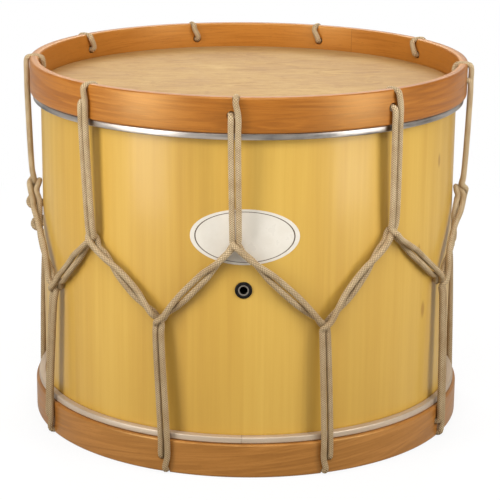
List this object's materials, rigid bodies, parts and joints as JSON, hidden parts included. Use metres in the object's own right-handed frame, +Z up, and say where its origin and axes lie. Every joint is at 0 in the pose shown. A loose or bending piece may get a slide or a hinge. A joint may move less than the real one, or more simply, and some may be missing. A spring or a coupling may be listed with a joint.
{
  "type": "maracatu drum",
  "caption": "Deep round bass drum: bent wooden shell, two skins on metal rings, two wooden hoops laced together with rope in a honeycomb pattern.",
  "frame": {"origin": "centre of the lower hoop's lower edge, on the surface that the drum stands on", "axes": "+Z up along the shell's axis, -Y to the drum's front, where the vent is, +X to the right seen from the front"},
  "size_m": [0.4935, 0.4963, 0.4014],
  "materials": {
    "shell_wood": "lacquered pale yellow ply, upright grain",
    "stiffener_wood": "bare ply",
    "hoop_wood": "lacquered orange-brown wood, grain along the hoop",
    "rawhide": "dry scraped rawhide",
    "ring_metal": "polished",
    "vent_black": "black, satin",
    "vent_washer": "plain",
    "rope": "braided natural cord"
  },
  "bodies": {
    "root": {"shell": "shell_wood", "upper_stiffener": "stiffener_wood", "lower_stiffener": "stiffener_wood", "vent_eyelet": "vent_black", "vent_washer": "vent_washer", "upper_head": "rawhide", "lower_head": "rawhide", "upper_flesh_ring": "ring_metal", "lower_flesh_ring": "ring_metal", "upper_hoop": "hoop_wood", "lower_hoop": "hoop_wood", "lacing_rope": "rope", "tension_rope": "rope"}
  },
  "joints": []
}
